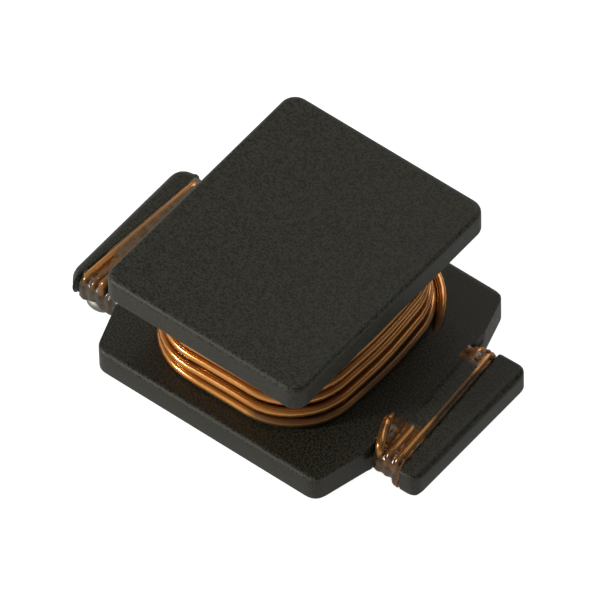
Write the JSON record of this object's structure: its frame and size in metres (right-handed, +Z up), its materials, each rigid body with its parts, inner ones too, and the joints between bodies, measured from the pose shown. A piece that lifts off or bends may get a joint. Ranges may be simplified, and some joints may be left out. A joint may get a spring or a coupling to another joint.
{
  "type": "smd power inductor",
  "caption": "Wire-wound power inductor for surface mounting: a dark ferrite drum core with a rectangular top flange and an eared base, wound with enamelled copper wire soldered under the ears.",
  "frame": {"origin": "middle of the seating plane, under the centre of the base", "axes": "+X from the left ear to the right ear, +Y across the base, +Z up from the board"},
  "size_m": [0.0044, 0.0032, 0.0016],
  "materials": {
    "ferrite": "matte, fine-grained sintered ferrite",
    "enamelled_copper": "glossy enamel over copper",
    "solder": "satin tin solder",
    "varnish": "glossy amber varnish"
  },
  "bodies": {
    "root": {"ferrite_core": "ferrite", "coil_wire": "enamelled_copper", "terminal_left": "solder", "terminal_right": "solder", "varnish_left": "varnish", "varnish_right": "varnish"}
  },
  "joints": []
}
